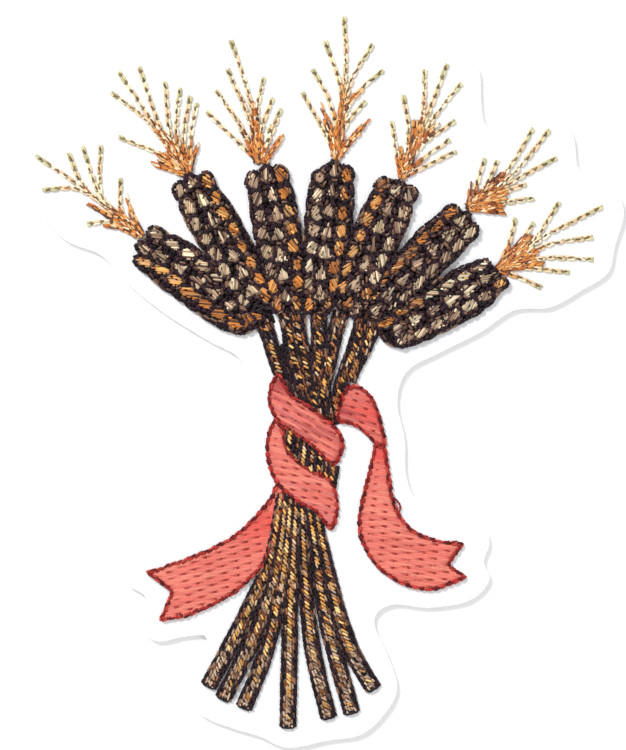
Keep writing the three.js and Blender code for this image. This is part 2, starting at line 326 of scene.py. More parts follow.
class Stitches:
    """A set of stitches, kept as rows of numbers until they are made into one mesh."""

    def __init__(self, tones=(0.88, 1.1)):
        self.rows = []
        self.tones = tones

    def add(self, a, b, level, colour, ends=None, lift=0.12, half=THREAD):
        """One stitch from a to b. level is the height of its middle line over the cloth. ends is the
        colour that it goes over to towards its two ends, mostly a darker one: painted shade where the
        thread dives into its needle holes.
        """
        tone = rng.uniform(*self.tones)
        ends = colour if ends is None else ends
        self.rows.append([*a, *b, level, lift, half, *(colour * tone), *(ends * tone)])

    def run(self, line, length, level, colours, offset=0.0, phase=0.0, ends=None, lift=0.12,
            half=THREAD, wander=0.03, tilt=0.0):
        """Running stitches along a line, offset to its left. colours(k) gives each one's colour."""
        shifted = line + left_of(line) * offset
        knots = spaced(shifted, length)
        if phase:
            knots = np.vstack([knots[:1], knots[:-1] + phase * np.diff(knots, axis=0), knots[-1:]])
        knots = shaken(knots, wander)
        turn = left_of(knots) * tilt
        for k, (a, b) in enumerate(zip(knots, knots[1:])):
            if np.linalg.norm(b - a) > 0.25:
                self.add(a - turn[k], b + turn[k + 1], level, colours(k), ends, lift, half)

    def fill(self, outline, angle, spacing, length, level, colours, ends=None, lift=0.05,
             half=THREAD):
        """Parallel rows of stitches across an outline, with each row's needle points staggered."""
        turned = turned_by(np.asarray(outline), -angle)
        low, high = turned[:, 1].min(), turned[:, 1].max()
        for row, y in enumerate(np.arange(low + spacing / 2, high, spacing)):
            for x0, x1 in crossings(turned, y):
                start = (row % STAGGER) / STAGGER * length
                cuts = np.arange(math.ceil((x0 - start) / length) * length + start, x1, length)
                cuts = cuts[(cuts > x0 + length / 6) & (cuts < x1 - length / 6)]
                knots = np.concatenate([[x0], cuts + rng.normal(0, 0.05, len(cuts)), [x1]])
                for a, b in zip(knots, knots[1:]):
                    if b - a > 0.3:
                        level_ends = np.array([[a, y], [b, y + rng.normal(0, 0.02)]])
                        a_xy, b_xy = turned_by(level_ends, angle)
                        self.add(a_xy, b_xy, level, colours((a_xy + b_xy) / 2), ends, lift, half)

    def without(self, outlines):
        """Takes out the stitches whose middle lies inside any of the outlines."""
        rows = np.array(self.rows)
        middle = (rows[:, 0:2] + rows[:, 2:4]) / 2
        covered = np.zeros(len(rows), bool)
        for outline in outlines:
            covered |= inside(outline, middle)
        self.rows = list(rows[~covered])


def tubes(rows, rings, flattened, over):
    """Vertices, faces, maps and colours of stitches that have the same number of rings.

    over is +1 on the stitched face and -1 on the underside.
    """
    n = len(rows)
    a, b = rows[:, 0:2], rows[:, 2:4]
    level, lift, half = (rows[:, k][:, None] for k in (4, 5, 6))
    t = np.linspace(0, 1, rings)[None, :]
    bow = 1 - np.abs(2 * t - 1) ** END_BLUNTNESS
    span = b - a
    length = np.linalg.norm(span, axis=1)[:, None]
    side = np.stack([-span[:, 1], span[:, 0]], 1) / length
    middle = a[:, None, :] + t[:, :, None] * span[:, None, :]
    height = level + lift * bow - half * DIVE * (1 - bow)
    radius = half * (END_WIDTH + (1 - END_WIDTH) * bow)
    theta = (np.arange(SIDES) / SIDES * 2 * np.pi)[None, None, :]
    turn = rng.uniform(0, np.pi, (n, 1)) + t * length / PLY_TURN * 2 * np.pi
    plies = 1 + PLY_DEPTH * np.cos(2 * (theta - turn[:, :, None]))
    r = radius[:, :, None] * plies
    xy = middle[:, :, None, :] + (r * np.cos(theta))[..., None] * side[:, None, None, :]
    z = over * (height[:, :, None] + flattened * r * np.sin(theta))
    body = np.concatenate([xy, z[..., None]], 3).reshape(n, rings * SIDES, 3)
    tips_z = over * (height[:, [0, -1]] - half)
    tips = np.concatenate([middle[:, [0, -1], :], tips_z[..., None]], 2)
    vertices = np.concatenate([body, tips], 1)

    here = np.arange(rings * SIDES).reshape(rings, SIDES)
    nxt = np.roll(here, -1, axis=1)
    quads = np.stack([here[:-1], here[1:], nxt[1:], nxt[:-1]], 2).reshape(-1, 4)
    first = rings * SIDES
    caps = np.concatenate([np.stack([here[0], nxt[0], np.full(SIDES, first)], 1),
                           np.stack([nxt[-1], here[-1], np.full(SIDES, first + 1)], 1)])
    if over > 0:
        quads, caps = quads[:, ::-1], caps[:, ::-1]

    ring_at = np.arange(rings) / (rings - 1) * 0.9 + 0.05
    vertex_at = np.concatenate([np.repeat(ring_at, SIDES), [0.0, 1.0]])

    def place(faces):
        """Where each corner of a face lies along the thread and round it."""
        is_tip = faces >= first
        round_of = np.where(is_tip, 0, faces % SIDES).astype(float)
        wraps = (round_of.max(1) - round_of.min(1)) > SIDES / 2
        round_of[wraps] = np.where(round_of[wraps] == 0, SIDES, round_of[wraps])
        mean = (round_of * ~is_tip).sum(1) / (~is_tip).sum(1)
        round_of = np.where(is_tip, mean[:, None], round_of)
        return np.stack([vertex_at[faces], round_of / SIDES], 2)

    # Towards its two ends each stitch goes over to its end colour: painted shade at the needle holes.
    blend = bow[:, :, None]
    colour = rows[:, None, 10:13] * (1 - blend) + rows[:, None, 7:10] * blend
    colour = np.repeat(colour, SIDES, axis=1)
    colours = np.concatenate([colour, colour[:, [0, -1]]], 1)
    return vertices, quads, caps, place(quads), place(caps), colours, length[:, 0]


def make_mesh(name, stitches, base, materials, flattened=FLATTENED, over=1, ring_step=RING_STEP):
    """One mesh object of all the stitches, with base as the level that they are sewn on.

    materials are the one for the coloured threads and the one for the dark threads.
    """
    rows = np.array(stitches.rows)
    lengths = np.linalg.norm(rows[:, 2:4] - rows[:, 0:2], axis=1)
    rings = np.clip(np.ceil(lengths / ring_step).astype(int) + 3, MIN_RINGS, MAX_RINGS)
    dark = rows[:, 7:10].mean(1) < DARK
    cells = int(math.ceil(math.sqrt(len(rows))))
    parts = {key: [] for key in ("vertices", "corners", "starts", "thread", "bake", "colours", "dark")}
    used, at_corner, cell = 0, 0, 0
    for count in np.unique(rings):
        chosen = rows[rings == count]
        v, quads, caps, quad_at, cap_at, colour, length = tubes(chosen, int(count), flattened, over)
        n, per = len(chosen), v.shape[1]
        first_vertex = used + np.arange(n)[:, None] * per
        cell_at = cell + np.arange(n)
        corner = np.stack([cell_at % cells, cell_at // cells], 1)[:, None, :]
        for faces, at in ((quads, quad_at), (caps, cap_at)):
            parts["corners"].append((faces.reshape(1, -1) + first_vertex).ravel())
            parts["starts"].append(at_corner + np.arange(n * len(faces)) * faces.shape[1])
            parts["dark"].append(np.repeat(dark[rings == count], len(faces)))
            at_corner += n * faces.size
            flat = at.reshape(1, -1, 2)
            in_cell = CELL_MARGIN + (1 - 2 * CELL_MARGIN) * flat
            parts["bake"].append(((corner + in_cell) / cells).reshape(-1, 2))
            stretched = flat * np.stack([length, np.ones(n)], 1)[:, None, :]
            offset = np.stack([cell_at * FIBRE_SHIFT, np.zeros(n)], 1)[:, None, :]
            parts["thread"].append((stretched + offset).reshape(-1, 2))
        parts["vertices"].append(v.reshape(-1, 3))
        parts["colours"].append(colour.reshape(-1, 3))
        used += n * per
        cell += n
    whole = {key: np.concatenate(values) for key, values in parts.items()}
    whole["vertices"][:, 2] += base
    return mesh_object(name, whole, materials)


def put(items, key, values, kind=np.int32):
    items.foreach_set(key, values.astype(kind).ravel())


def mesh_object(name, whole, materials):
    mesh = bpy.data.meshes.new(name)
    faces = len(whole["starts"])
    mesh.vertices.add(len(whole["vertices"]))
    put(mesh.vertices, "co", whole["vertices"] * MM, np.float32)
    mesh.loops.add(len(whole["corners"]))
    put(mesh.loops, "vertex_index", whole["corners"])
    mesh.polygons.add(faces)
    put(mesh.polygons, "loop_start", whole["starts"])
    for material in materials:
        mesh.materials.append(material)
    put(mesh.polygons, "material_index", whole["dark"] * (len(materials) - 1))
    mesh.update(calc_edges=True)
    put(mesh.polygons, "use_smooth", np.ones(faces), bool)
    for key, uv in (("Thread", whole["thread"]), ("OFBake", whole["bake"])):
        put(mesh.uv_layers.new(name=key).uv, "vector", uv, np.float32)
    colours = np.clip(whole["colours"], 0, 1)
    attribute = mesh.color_attributes.new("stitch_colour", "FLOAT_COLOR", "POINT")
    put(attribute.data, "color", np.column_stack([colours, np.ones(len(colours))]), np.float32)
    return linked(name, mesh)


def stands_for(piece, node_name):
    """The piece is seen instead of a CAD node, and is fixed to the one body."""
    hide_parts(node_name)
    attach(piece, BODY)


def sewn(node_name, stitches, materials, flattened=FLATTENED):
    """Makes the stitches that stand for a CAD node."""
    made = make_mesh(node_name + "_stitches", stitches, CLOTH_TOP, materials, flattened)
    stands_for(made, node_name)


def one_of(colours):
    return colours[rng.integers(len(colours))]


def pick(colours):
    """Gives every stitch one of the colours."""
    return lambda _: one_of(colours)


def rope(stitches, line, length, level, colours, spread, half):
    """A double stitch: two threads side by side between the same needle points."""
    knots = shaken(spaced(line, length), KNOT_SHAKE)
    sideways = left_of(knots)
    for k, (a, b) in enumerate(zip(knots, knots[1:])):
        for place in (-spread, spread):
            shift = sideways[k] * place + rng.normal(0, 0.02, 2)
            raised = level + rng.uniform(0, 0.08)
            stitches.add(a + shift, b + shift, raised, colours(k), None, 0.14, half)


# ---------------- ears

PLUM = linear("2c1922")
BLACK = linear("191012")
UMBER = linear("4e3024")
# The dark threads. The browns mixed in among them stand for glints on the dark thread: painted
# highlights.
DARKS = [*[PLUM] * 6, *[BLACK] * 4, UMBER, UMBER, linear("7c5c46")]
TANS = colours_from("bc9e82 a68a72 cab292 987a64 ac9674 8e6e58 d8c4a6")
OCHRES = colours_from("c47c34 a8642a d89e58 965a2a bc8e5c b46c28")
CREAMS = colours_from("dccbaa c6b088 b29878 ecdfc0 bc9660")

SIDE_GRAIN = (0.84, 1.05)  # half the width and half the length of a grain at an ear's side
MIDDLE_GRAIN = (1.0, 1.08)
LONG_GRAIN = (0.72, 1.45)  # leaning bars
LEAN_GRAIN = (0.68, 1.2)
EVEN, BARRED, LEAN = (SIDE_GRAIN, SIDE_GRAIN), (LONG_GRAIN, SIDE_GRAIN), (LEAN_GRAIN, LEAN_GRAIN)
# Each ear: the middle of its tip, the middle of its base, half its width and
# how far its middle bows to the left, seen from the tip. Then which side's
# grains are ochre, +1 for the left side seen from the tip, -1 for the right and
# 0 for an ear of its own colours, its layer, which is lower for an ear in
# front, its tone and the grains of its right and left side. Then where the
# grains at its tip are, as s and w: the right, middle and left one.
EARS = [
    ((-24.9, 18.3), (-8.9, 6.2), 4.1, 0.2, -1, 3, 1.12, BARRED, [(2.3, -2.4), (0.9, -0.7), (1.3, 2.1)]),
    ((-18.9, 27.1), (-8.0, 8.2), 3.75, 0.4, 1, 2, 1.04, EVEN, [(1.4, -1.6), (1.2, 0.5), (2.2, 2.2)]),
    ((-7.8, 28.9), (-4.4, 8.2), 3.65, 0.2, 1, 1, 1.06, EVEN, [(2.0, -1.9), (1.3, 0.1), (1.9, 1.9)]),
    ((1.9, 29.5), (-0.6, 7.6), 3.65, 0.1, 1, 0, 0.99, EVEN, [(2.6, -1.9), (1.3, 0.0), (2.2, 1.8)]),
    ((11.4, 26.9), (3.2, 8.1), 3.8, -0.2, -1, 1, 1.0, EVEN, [(2.1, -2.1), (1.6, -0.2), (1.7, 1.8)]),
    ((20.7, 22.0), (6.8, 7.9), 3.6, -0.3, -1, 3, 0.88, LEAN, [(2.0, -2.1), (1.3, -0.2), (1.8, 2.0)]),
    ((25.1, 14.1), (8.2, 4.9), 3.9, 0.2, 0, 2, 0.94, LEAN, [(2.5, -2.1), (2.2, -0.3), (1.4, 1.4)]),
]
TIP_RADIUS = 1.2  # of the lobe that the ear's edge makes round each grain at its tip
TIP_DEPTH = 0.36  # how far the edge draws in between the lobes
TIP_REACH = 4.5  # how far from the tip the lobes have an effect
EAR_SCALLOP = 0.4  # how far the ear's edge goes in and out from grain to grain
EAR_BLUNTNESS = 0.45  # the less, the blunter its two ends
EAR_TAPER = 0.15

MIDDLE_PITCH = 2.85  # from one grain of the middle column to the next
SIDE_PITCH = 2.5
SIDE_PLACE = 0.6  # where the side columns are, over the ear's half width
LONG_GRAIN_TURN = 0.42  # the lean of the bars from the ear's own direction
LONG_GRAIN_INWARD = 0.25
# Grain outlines, as parts of half their width and half their length. The first
# is a triangle with its point towards the ear's tip, the second a leaning patch.
TRIANGLE = [(0.0, 1.15), (0.55, 0.1), (1.0, -0.75), (0.4, -1.0), (-0.45, -0.95), (-1.0, -0.7),
            (-0.5, 0.15)]
PATCH = [(0.2, 1.05), (0.95, 0.6), (0.85, -0.55), (0.0, -1.05), (-0.9, -0.6), (-0.75, 0.55)]
RING_OFFSET = 0.26  # from a grain to the middle of the dark rope round it
GRAIN_ROW = 0.24  # from one satin stitch of a grain to the next
GRAIN_SHAKE = 0.1
# Heights of the threads' middle lines over the cloth, and what the ear's middle adds to them.
EAR_UNDERLAY, EAR_EDGE, GRAIN_LEVEL, GRAIN_ROPE, EAR_DOME = 0.26, 0.46, 0.52, 0.58, 0.2


class Ear:
    """An ear's own places: s runs from its tip to its base and w across it, in millimetres."""

    def __init__(self, tip, base, half, bow, ochre_side, layer, tone, side_grains, tip_grains):
        tip, base = np.array(tip), np.array(base)
        ahead = unit(base - tip)
        left = np.array([-ahead[1], ahead[0]])
        t = np.linspace(0, 1, 60)[:, None]
        pull = (tip + base) / 2 + left * 2 * bow
        axis = (1 - t) ** 2 * tip + 2 * t * (1 - t) * pull + t ** 2 * base
        self.axis = spaced(axis, 0.2)
        self.left = left_of(self.axis)
        self.length = run_of(self.axis)[-1]
        self.half, self.ochre_side, self.layer, self.tone = half, ochre_side, layer, tone
        self.side_grains, self.tip_grains = side_grains, tip_grains

    def half_width(self, s):
        t = np.clip(np.asarray(s) / self.length, 0, 1)
        rounded = (1 - np.abs(1 - 2 * t) ** 4) ** EAR_BLUNTNESS
        bumps = round(self.length / SIDE_PITCH)
        scallop = EAR_SCALLOP * np.abs(np.sin(t * bumps * np.pi)) ** 0.7
        return rounded * (self.half - EAR_SCALLOP + scallop) * (1 - EAR_TAPER * t)

    def at(self, s, w):
        run = np.linspace(0, self.length, len(self.axis))
        s, w = np.broadcast_arrays(np.asarray(s, float), np.asarray(w, float))
        x, y, lx, ly = (np.interp(s, run, v) for v in (*self.axis.T, *self.left.T))
        beyond = np.minimum(s, 0) + np.maximum(s - self.length, 0)
        ahead = np.array([self.left[0][1], -self.left[0][0]])
        return np.stack([x + lx * w + ahead[0] * beyond, y + ly * w + ahead[1] * beyond], -1)

    def lobed(self, s, w):
        """Draws the edge of the tip in, except round the grains there."""
        away = np.stack([s - TIP_REACH, w], 1)
        reach = np.linalg.norm(away, axis=1)
        away /= reach[:, None]
        reach = reach - TIP_DEPTH * np.clip((TIP_REACH - s) / 2.5, 0, 1)
        for grain in self.tip_grains:
            centre = np.array(grain) - [TIP_REACH, 0]
            nearest = away @ centre
            inside_of = TIP_RADIUS ** 2 - (centre @ centre - nearest ** 2)
            reach = np.maximum(reach, nearest + np.sqrt(np.maximum(inside_of, 0)) - 9 * (inside_of < 0))
        return TIP_REACH + away[:, 0] * reach, away[:, 1] * reach

    def outline(self, inset):
        s = self.length * (1 - np.cos(np.linspace(0, np.pi, 110))) / 2
        w = self.half_width(s)
        s, w = np.concatenate([s, s[::-1]]), np.concatenate([w, -w[::-1]])
        s, w = np.where(s < TIP_REACH, self.lobed(s, w), (s, w))
        ring = spaced(self.at(s, w), 0.25)
        return ring + left_of(ring) * ring_side(ring) * inset


def grain_palette(ear, column, s):
    """Colours of the grain that is s from the tip in a column: -1 and 1 are the sides."""
    if ear.ochre_side == 0:
        if column < 0:
            return CREAMS if s < ear.length * 0.6 else OCHRES
        return OCHRES if s < 3 and column > 0 else TANS
    if column == ear.ochre_side:
        return OCHRES
    near_base = s > ear.length * 0.8
    return OCHRES if near_base and rng.random() < 0.5 else TANS


def sew_grain(sewing, ear, column, s, w, size):
    """One grain: satin stitches that lean one way, and a dark rope round them."""
    palette = grain_palette(ear, column, s)
    own = [palette[k] for k in rng.choice(len(palette), 3, replace=False)]
    room = float(ear.half_width(max(s, 2.0))) / ear.half
    half_width = size[0] * (0.5 + 0.5 * room) * rng.uniform(0.86, 1.12)
    half_length = size[1] * rng.uniform(0.88, 1.12)
    shape = np.array(PATCH if column else TRIANGLE) * [half_width, half_length]
    shape[:, 0] *= -column if column else 1
    shape = shaken(shape, GRAIN_SHAKE)
    dome = EAR_DOME * (1 - (w / ear.half) ** 2)
    lean = rng.uniform(-0.35, 0.35) if column == 0 else -0.55 * column
    if size == LONG_GRAIN:
        shape = turned_by(shape, -column * LONG_GRAIN_TURN) - [column * LONG_GRAIN_INWARD, 0]
        lean = column * LONG_GRAIN_TURN * 1.3
    patch = turned_by(shape, lean)
    low, high = patch[:, 0].min(), patch[:, 0].max()
    rows = max(int(round((high - low) / GRAIN_ROW)), 3)
    for x in low + (np.arange(rows) + 0.5) / rows * (high - low):
        for y0, y1 in crossings(patch[:, ::-1], x):
            y0, y1 = y0 - rng.uniform(-0.06, 0.12), y1 + rng.uniform(-0.06, 0.12)
            if y1 - y0 < 0.35:
                continue
            split = y0 + (y1 - y0) * rng.uniform(0.3, 0.7) if rng.random() < 0.3 else None
            cuts = [y0, y1] if split is None else [y0, split, y1]
            for c0, c1 in zip(cuts, cuts[1:]):
                ends = turned_by(np.array([[x, c0], [x + rng.normal(0, 0.07), c1]]), -lean)
                a, b = ear.at(s - ends[:, 1], w + ends[:, 0])
                # One stitch in five is made 35 % brighter as a painted highlight; the others vary at
                # random in tone.
                glint = 1.35 if rng.random() < 0.2 else rng.uniform(0.6, 1.1)
                tint = one_of(own) * glint * ear.tone
                if rng.random() < 0.1:
                    tint = UMBER
                # Its ends go over to plum or to a darker copy of its colour: painted shade at the needle
                # holes.
                sewing.add(a, b, GRAIN_LEVEL + dome + rng.uniform(0, 0.06), tint,
                           one_of([PLUM, own[0] * 0.5]), 0.2, 0.14)
    line = curve(shape, 0.2, closed=True)
    around = line - left_of(line) * ring_side(line) * RING_OFFSET
    rope(sewing, ear.at(s - around[:, 1], w + around[:, 0]), rng.uniform(0.85, 1.15),
         GRAIN_ROPE + dome, pick(DARKS), 0.12, 0.16)


def ear_stitches(ear, in_front):
    """An ear: a dark underlay, a dark rope round the whole of it, and its grains."""
    sewing = Stitches()
    across_axis = math.atan2(*(ear.axis[-1] - ear.axis[0])[::-1]) + math.pi / 2
    sewing.fill(ear.outline(0.25), across_axis, 0.32, 2.4, EAR_UNDERLAY, pick(DARKS))
    edge = closed_ring(ear.outline(0.28))
    rope(sewing, spaced(edge, 0.3), 1.1, EAR_EDGE, pick(DARKS), 0.15, 0.17)
    for column in (-1, 1, 0):
        size, pitch = MIDDLE_GRAIN, MIDDLE_PITCH
        if column:
            size, pitch = ear.side_grains[column > 0], SIDE_PITCH
        first, first_w = ear.tip_grains[column + 1]
        for s in np.arange(first, ear.length - 1.0, pitch):
            w = column * SIDE_PLACE * float(ear.half_width(s))
            w += (first_w - w) * max(0.0, 1 - (s - first) / 4)
            sew_grain(sewing, ear, column, s + rng.normal(0, 0.08), w + rng.normal(0, 0.08), size)
    sewing.without(in_front)
    return sewing


# ---------------- awns

STRAWS = colours_from("ecdcb8 e4cfa6 f2e6cc dcc49a eccaa2")
TIPS = colours_from("cdc598 d8cfa2 bcb486")
OLIVES = colours_from("7c6240 6a4e2e 5c4a2c 8a6a44 7a4a2c")
RUSTS = colours_from("c07838 dc9c54 b4641f d48a3c c8702c e4b478")
BROWNS = colours_from("7a3a12 5e2c10 8c4a1c 4a2410")

# Awns of each ear: where they meet, then for each hair its tip and the point
# that it passes on its way to the root.
AWNS = [
    ((-24.6, 19.0), [
        (-39.5, 30.1, -32.3, 25.1), (-34.9, 30.5, -32.6, 25.6), (-38.6, 25.3, -33.0, 25.2),
        (-33.0, 31.4, -30.5, 24.6), (-30.5, 31.6, -30.2, 24.0), (-27.8, 27.0, -27.6, 22.2),
        (-32.5, 20.6, -28.9, 20.9)]),
    ((-18.4, 27.3), [
        (-28.1, 41.8, -23.7, 35.3), (-25.2, 42.4, -22.3, 34.2), (-29.1, 38.8, -24.0, 34.8),
        (-21.6, 40.4, -20.8, 32.8), (-19.5, 39.5, -20.0, 33.4), (-18.1, 38.5, -19.0, 33.0),
        (-17.2, 37.4, -18.0, 32.7), (-28.1, 32.7, -23.0, 30.6)]),
    ((-8.4, 29.0), [
        (-12.5, 46.1, -9.9, 38.1), (-13.0, 42.2, -10.2, 35.8), (-14.6, 39.2, -10.9, 33.8),
        (-15.9, 36.3, -11.5, 31.9), (-7.9, 41.0, -8.9, 35.7), (-6.6, 38.2, -8.2, 33.9),
        (-5.5, 36.7, -7.5, 31.6), (-11.2, 33.9, -9.7, 30.9), (-6.8, 34.4, -7.8, 31.2)]),
    ((2.2, 29.2), [
        (3.2, 49.4, 3.4, 41.7), (0.6, 46.0, 2.8, 38.6), (7.2, 45.6, 3.8, 39.4),
        (-1.2, 42.1, 1.5, 36.7), (8.6, 42.0, 3.9, 37.2), (-2.6, 38.9, 0.7, 32.9),
        (6.2, 37.7, 3.2, 33.9)]),
    ((11.1, 26.9), [
        (14.4, 42.1, 13.9, 34.3), (17.5, 42.8, 14.7, 35.6), (19.5, 40.2, 15.4, 35.0),
        (11.4, 38.5, 12.1, 33.0), (9.8, 34.9, 10.5, 30.4), (18.7, 35.0, 14.0, 31.6),
        (17.9, 32.4, 14.4, 29.9), (18.8, 30.7, 14.4, 28.6)]),
    ((20.5, 22.7), [
        (29.4, 33.9, 25.3, 27.3), (31.7, 33.7, 26.6, 27.5), (32.7, 29.8, 26.9, 26.7),
        (22.7, 29.8, 21.3, 25.3), (24.5, 29.5, 22.3, 24.9), (28.5, 26.2, 23.7, 24.4),
        (29.6, 24.2, 24.8, 23.5)]),
    ((24.4, 14.3), [
        (27.0, 21.5, 25.9, 17.6), (29.5, 20.9, 27.0, 17.0), (33.0, 23.7, 29.2, 18.0),
        (39.1, 23.1, 31.0, 18.9), (37.7, 18.8, 31.4, 17.7), (37.8, 15.7, 31.0, 15.9),
        (34.5, 13.9, 28.9, 14.5), (30.6, 11.8, 27.3, 13.3)]),
]
# Rust-coloured strokes of each ear's awns: the points of the middle line, from
# its far end to the root, half the stroke's width at both of its ends and,
# where it is browner than the rest, the share of brown in it.
STROKES = [
    [([(-32.5, 23.4), (-28.6, 21.4), (-24.9, 19.1)], 0.3, 0.5),
     ([(-30.7, 20.6), (-28.0, 20.2), (-24.9, 19.1)], 0.25, 0.4),
     ([(-26.9, 24.9), (-26.2, 22.0), (-24.9, 19.4)], 0.2, 0.3),
     ([(-29.2, 22.8), (-27.0, 21.2), (-24.9, 19.1)], 0.2, 0.5)],
    [([(-23.7, 35.3), (-21.0, 31.6), (-18.4, 27.6)], 0.25, 0.9),
     ([(-16.9, 32.0), (-17.7, 29.6), (-18.3, 27.8)], 0.2, 0.3),
     ([(-21.4, 33.2), (-19.6, 30.2), (-18.3, 27.4)], 0.2, 0.5)],
    [([(-4.8, 33.4), (-6.4, 31.2), (-7.9, 28.9)], 0.3, 0.3),
     ([(-9.4, 37.7), (-9.0, 33.4), (-8.4, 29.0)], 0.2, 0.85),
     ([(-11.2, 34.0), (-9.8, 31.4), (-8.4, 29.0)], 0.2, 0.4)],
    [([(6.0, 39.7), (2.9, 36.0), (2.2, 30.2)], 0.3, 0.4),
     ([(6.9, 35.2), (4.5, 32.6), (2.2, 30.0)], 0.3, 0.45),
     ([(-0.1, 37.5), (1.0, 34.0), (2.0, 30.2)], 0.3, 0.4),
     ([(3.0, 40.3), (2.8, 35.0), (2.2, 29.8)], 0.15, 0.8)],
    [([(16.6, 34.6), (13.4, 31.7), (11.8, 28.0)], 0.35, 0.45),
     ([(14.1, 35.6), (12.8, 31.4), (11.4, 27.3)], 0.2, 0.7),
     ([(13.0, 35.2), (12.9, 31.4), (11.6, 28.0)], 0.3, 0.3),
     ([(10.9, 31.4), (11.1, 29.4), (11.4, 27.6)], 0.2, 0.3)],
    [([(20.8, 26.5), (20.6, 24.4), (20.3, 22.6)], 0.2, 0.25, 0.6),
     ([(25.6, 28.0), (22.8, 25.2), (20.4, 22.8)], 0.3, 0.7, 0.5)],
    [([(29.5, 19.4), (26.9, 17.0), (24.4, 14.4)], 0.2, 0.4)],
]
# Fans of rust strokes, by the ear's number: the direction of the fan's middle and
# half its opening in degrees, its length and its number of strokes.
FANS = {2: [(149.0, 13.0, 5.9, 6)], 6: [(0.0, 6.0, 5.5, 3), (24.0, 8.0, 6.6, 4)],
        7: [(28.0, 22.0, 7.6, 8)]}
PALE_STITCH = 1.4  # the length of a hair's stitches
SHADE_FLECK, SHADE_FLECK_PITCH = 0.7, 1.35  # the length of a dark fleck, painted shade at a hair's needle points, and from one to the next
HAIR_SPREAD = 0.17  # from a hair's middle line to each of its two threads
HAIR_HALF, SHADE_FLECK_HALF = 0.175, 0.125
HAIR_LEVEL, SHADE_FLECK_LEVEL, STROKE_LEVEL = 0.14, 0.3, 0.22


def sew_hair(sewing, line):
    """A pale hair is sewn out and back: two threads side by side, with short dark flecks on them that
    are painted shade at its needle points.
    """
    total = run_of(line)[-1]
    side_of = left_of(line)
    for side in (-1, 1):
        at = np.concatenate([[0], np.arange(rng.uniform(0.6, PALE_STITCH), total - 0.4, PALE_STITCH),
                             [total]])
        knots = shaken(along(line + side_of * side * HAIR_SPREAD, at), KNOT_SHAKE)
        for k, (a, b) in enumerate(zip(knots, knots[1:])):
            near_root = (at[k] + at[k + 1]) / 2 / total
            warm = near_root > rng.uniform(0.45, 0.95)
            colour = one_of(RUSTS if warm else TIPS if near_root < 0.12 else STRAWS)
            # Its ends are 30 % darker: painted shade at the needle holes.
            sewing.add(a, b, HAIR_LEVEL + 0.08 * near_root, colour, colour * 0.7, 0.12, HAIR_HALF)
    side = 1
    for at in np.arange(rng.uniform(0.2, 0.6), total - SHADE_FLECK, SHADE_FLECK_PITCH):
        side = -side
        ends = along(line, at + np.array([0, SHADE_FLECK]) + rng.normal(0, 0.06, 2))
        shift = side_of[min(int(at / total * len(line)), len(line) - 1)] * side * rng.uniform(0.1, 0.2)
        # The flecks are painted shade at the needle points: olive towards the tip and brown towards the
        # root.
        warm = at / total > rng.uniform(0.4, 0.9)
        colour = one_of(BROWNS if warm else OLIVES)
        sewing.add(ends[0] + shift, ends[1] - shift * 0.2, SHADE_FLECK_LEVEL, colour, None, 0.12,
                   SHADE_FLECK_HALF)


def sew_rust_stroke(sewing, points, far, near, brown=0.2):
    """A rust stroke is a bundle of fine stitches in orange and brown with a few pale ones."""
    line = curve(points, 0.2)
    total = run_of(line)[-1]
    widths = np.linspace(far, near, len(line))[:, None]
    strands = int(round((far + near) / 0.2)) + 1
    for place in np.linspace(-1, 1, strands):
        start = rng.uniform(0, 0.35) * total * abs(place)
        bundle = line + left_of(line) * place * widths
        at = np.arange(start, total, rng.uniform(0.95, 1.35))
        knots = along(bundle, np.append(at[at < total - 0.3], total))
        knots[:-1] = shaken(knots[:-1], 0.07)
        for a, b in zip(knots, knots[1:]):
            kind = rng.random() - 0.12 * (abs(place) > 0.7)
            palette = BROWNS if kind < brown else STRAWS if kind > 0.86 else RUSTS
            level = STROKE_LEVEL + rng.uniform(0, 0.1)
            # Its ends go over to brown: painted shade at the needle holes.
            sewing.add(a, b, level, one_of(palette), one_of(BROWNS), 0.13, 0.14)


def awn_stitches(number, root, hairs):
    sewing = Stitches()
    for x, y, via_x, via_y in hairs:
        sew_hair(sewing, curve([(x, y), (via_x, via_y), root], 0.2))
    for points, *widths in STROKES[number - 1]:
        sew_rust_stroke(sewing, points, *widths)
    for middle, opening, length, count in FANS.get(number, []):
        for angle in np.radians(np.linspace(middle - opening, middle + opening, count)):
            reach = length * rng.uniform(0.8, 1.0)
            ahead = np.array([math.cos(angle), math.sin(angle)])
            sew_rust_stroke(sewing, [root + ahead * reach, root + ahead * reach / 2, root], 0.25, 0.3)
    return sewing


# ---------------- stalks

STALK_EDGE = linear("1e1119")
GOLDS = colours_from("dca24e ecc27c c08a40")
WOODS = colours_from("8a4a18 6e3812 a0602a 54300f")
PALES = colours_from("b8987c a88870 cbb094 97785c")

STRANDS = (-0.5, 0.17, -0.17, 0.5)  # where a stalk's core is sewn, over its half width
FULL_WIDTH = 0.8  # a stalk with less half width than this has no room for the outer strands
TWIST = 0.56  # from one turn of the rope down a stalk's core to the next
STALK_UNDERLAY, STRAND_LEVEL, TWIST_LEVEL = 0.12, 0.38, 0.5
# The two lines of a stalk's edge: the place over its half width, the level and
# how far along a stitch the needle points are.
STALK_EDGES = ((0.92, 0.26, 0.5), (0.7, 0.34, 0.0))

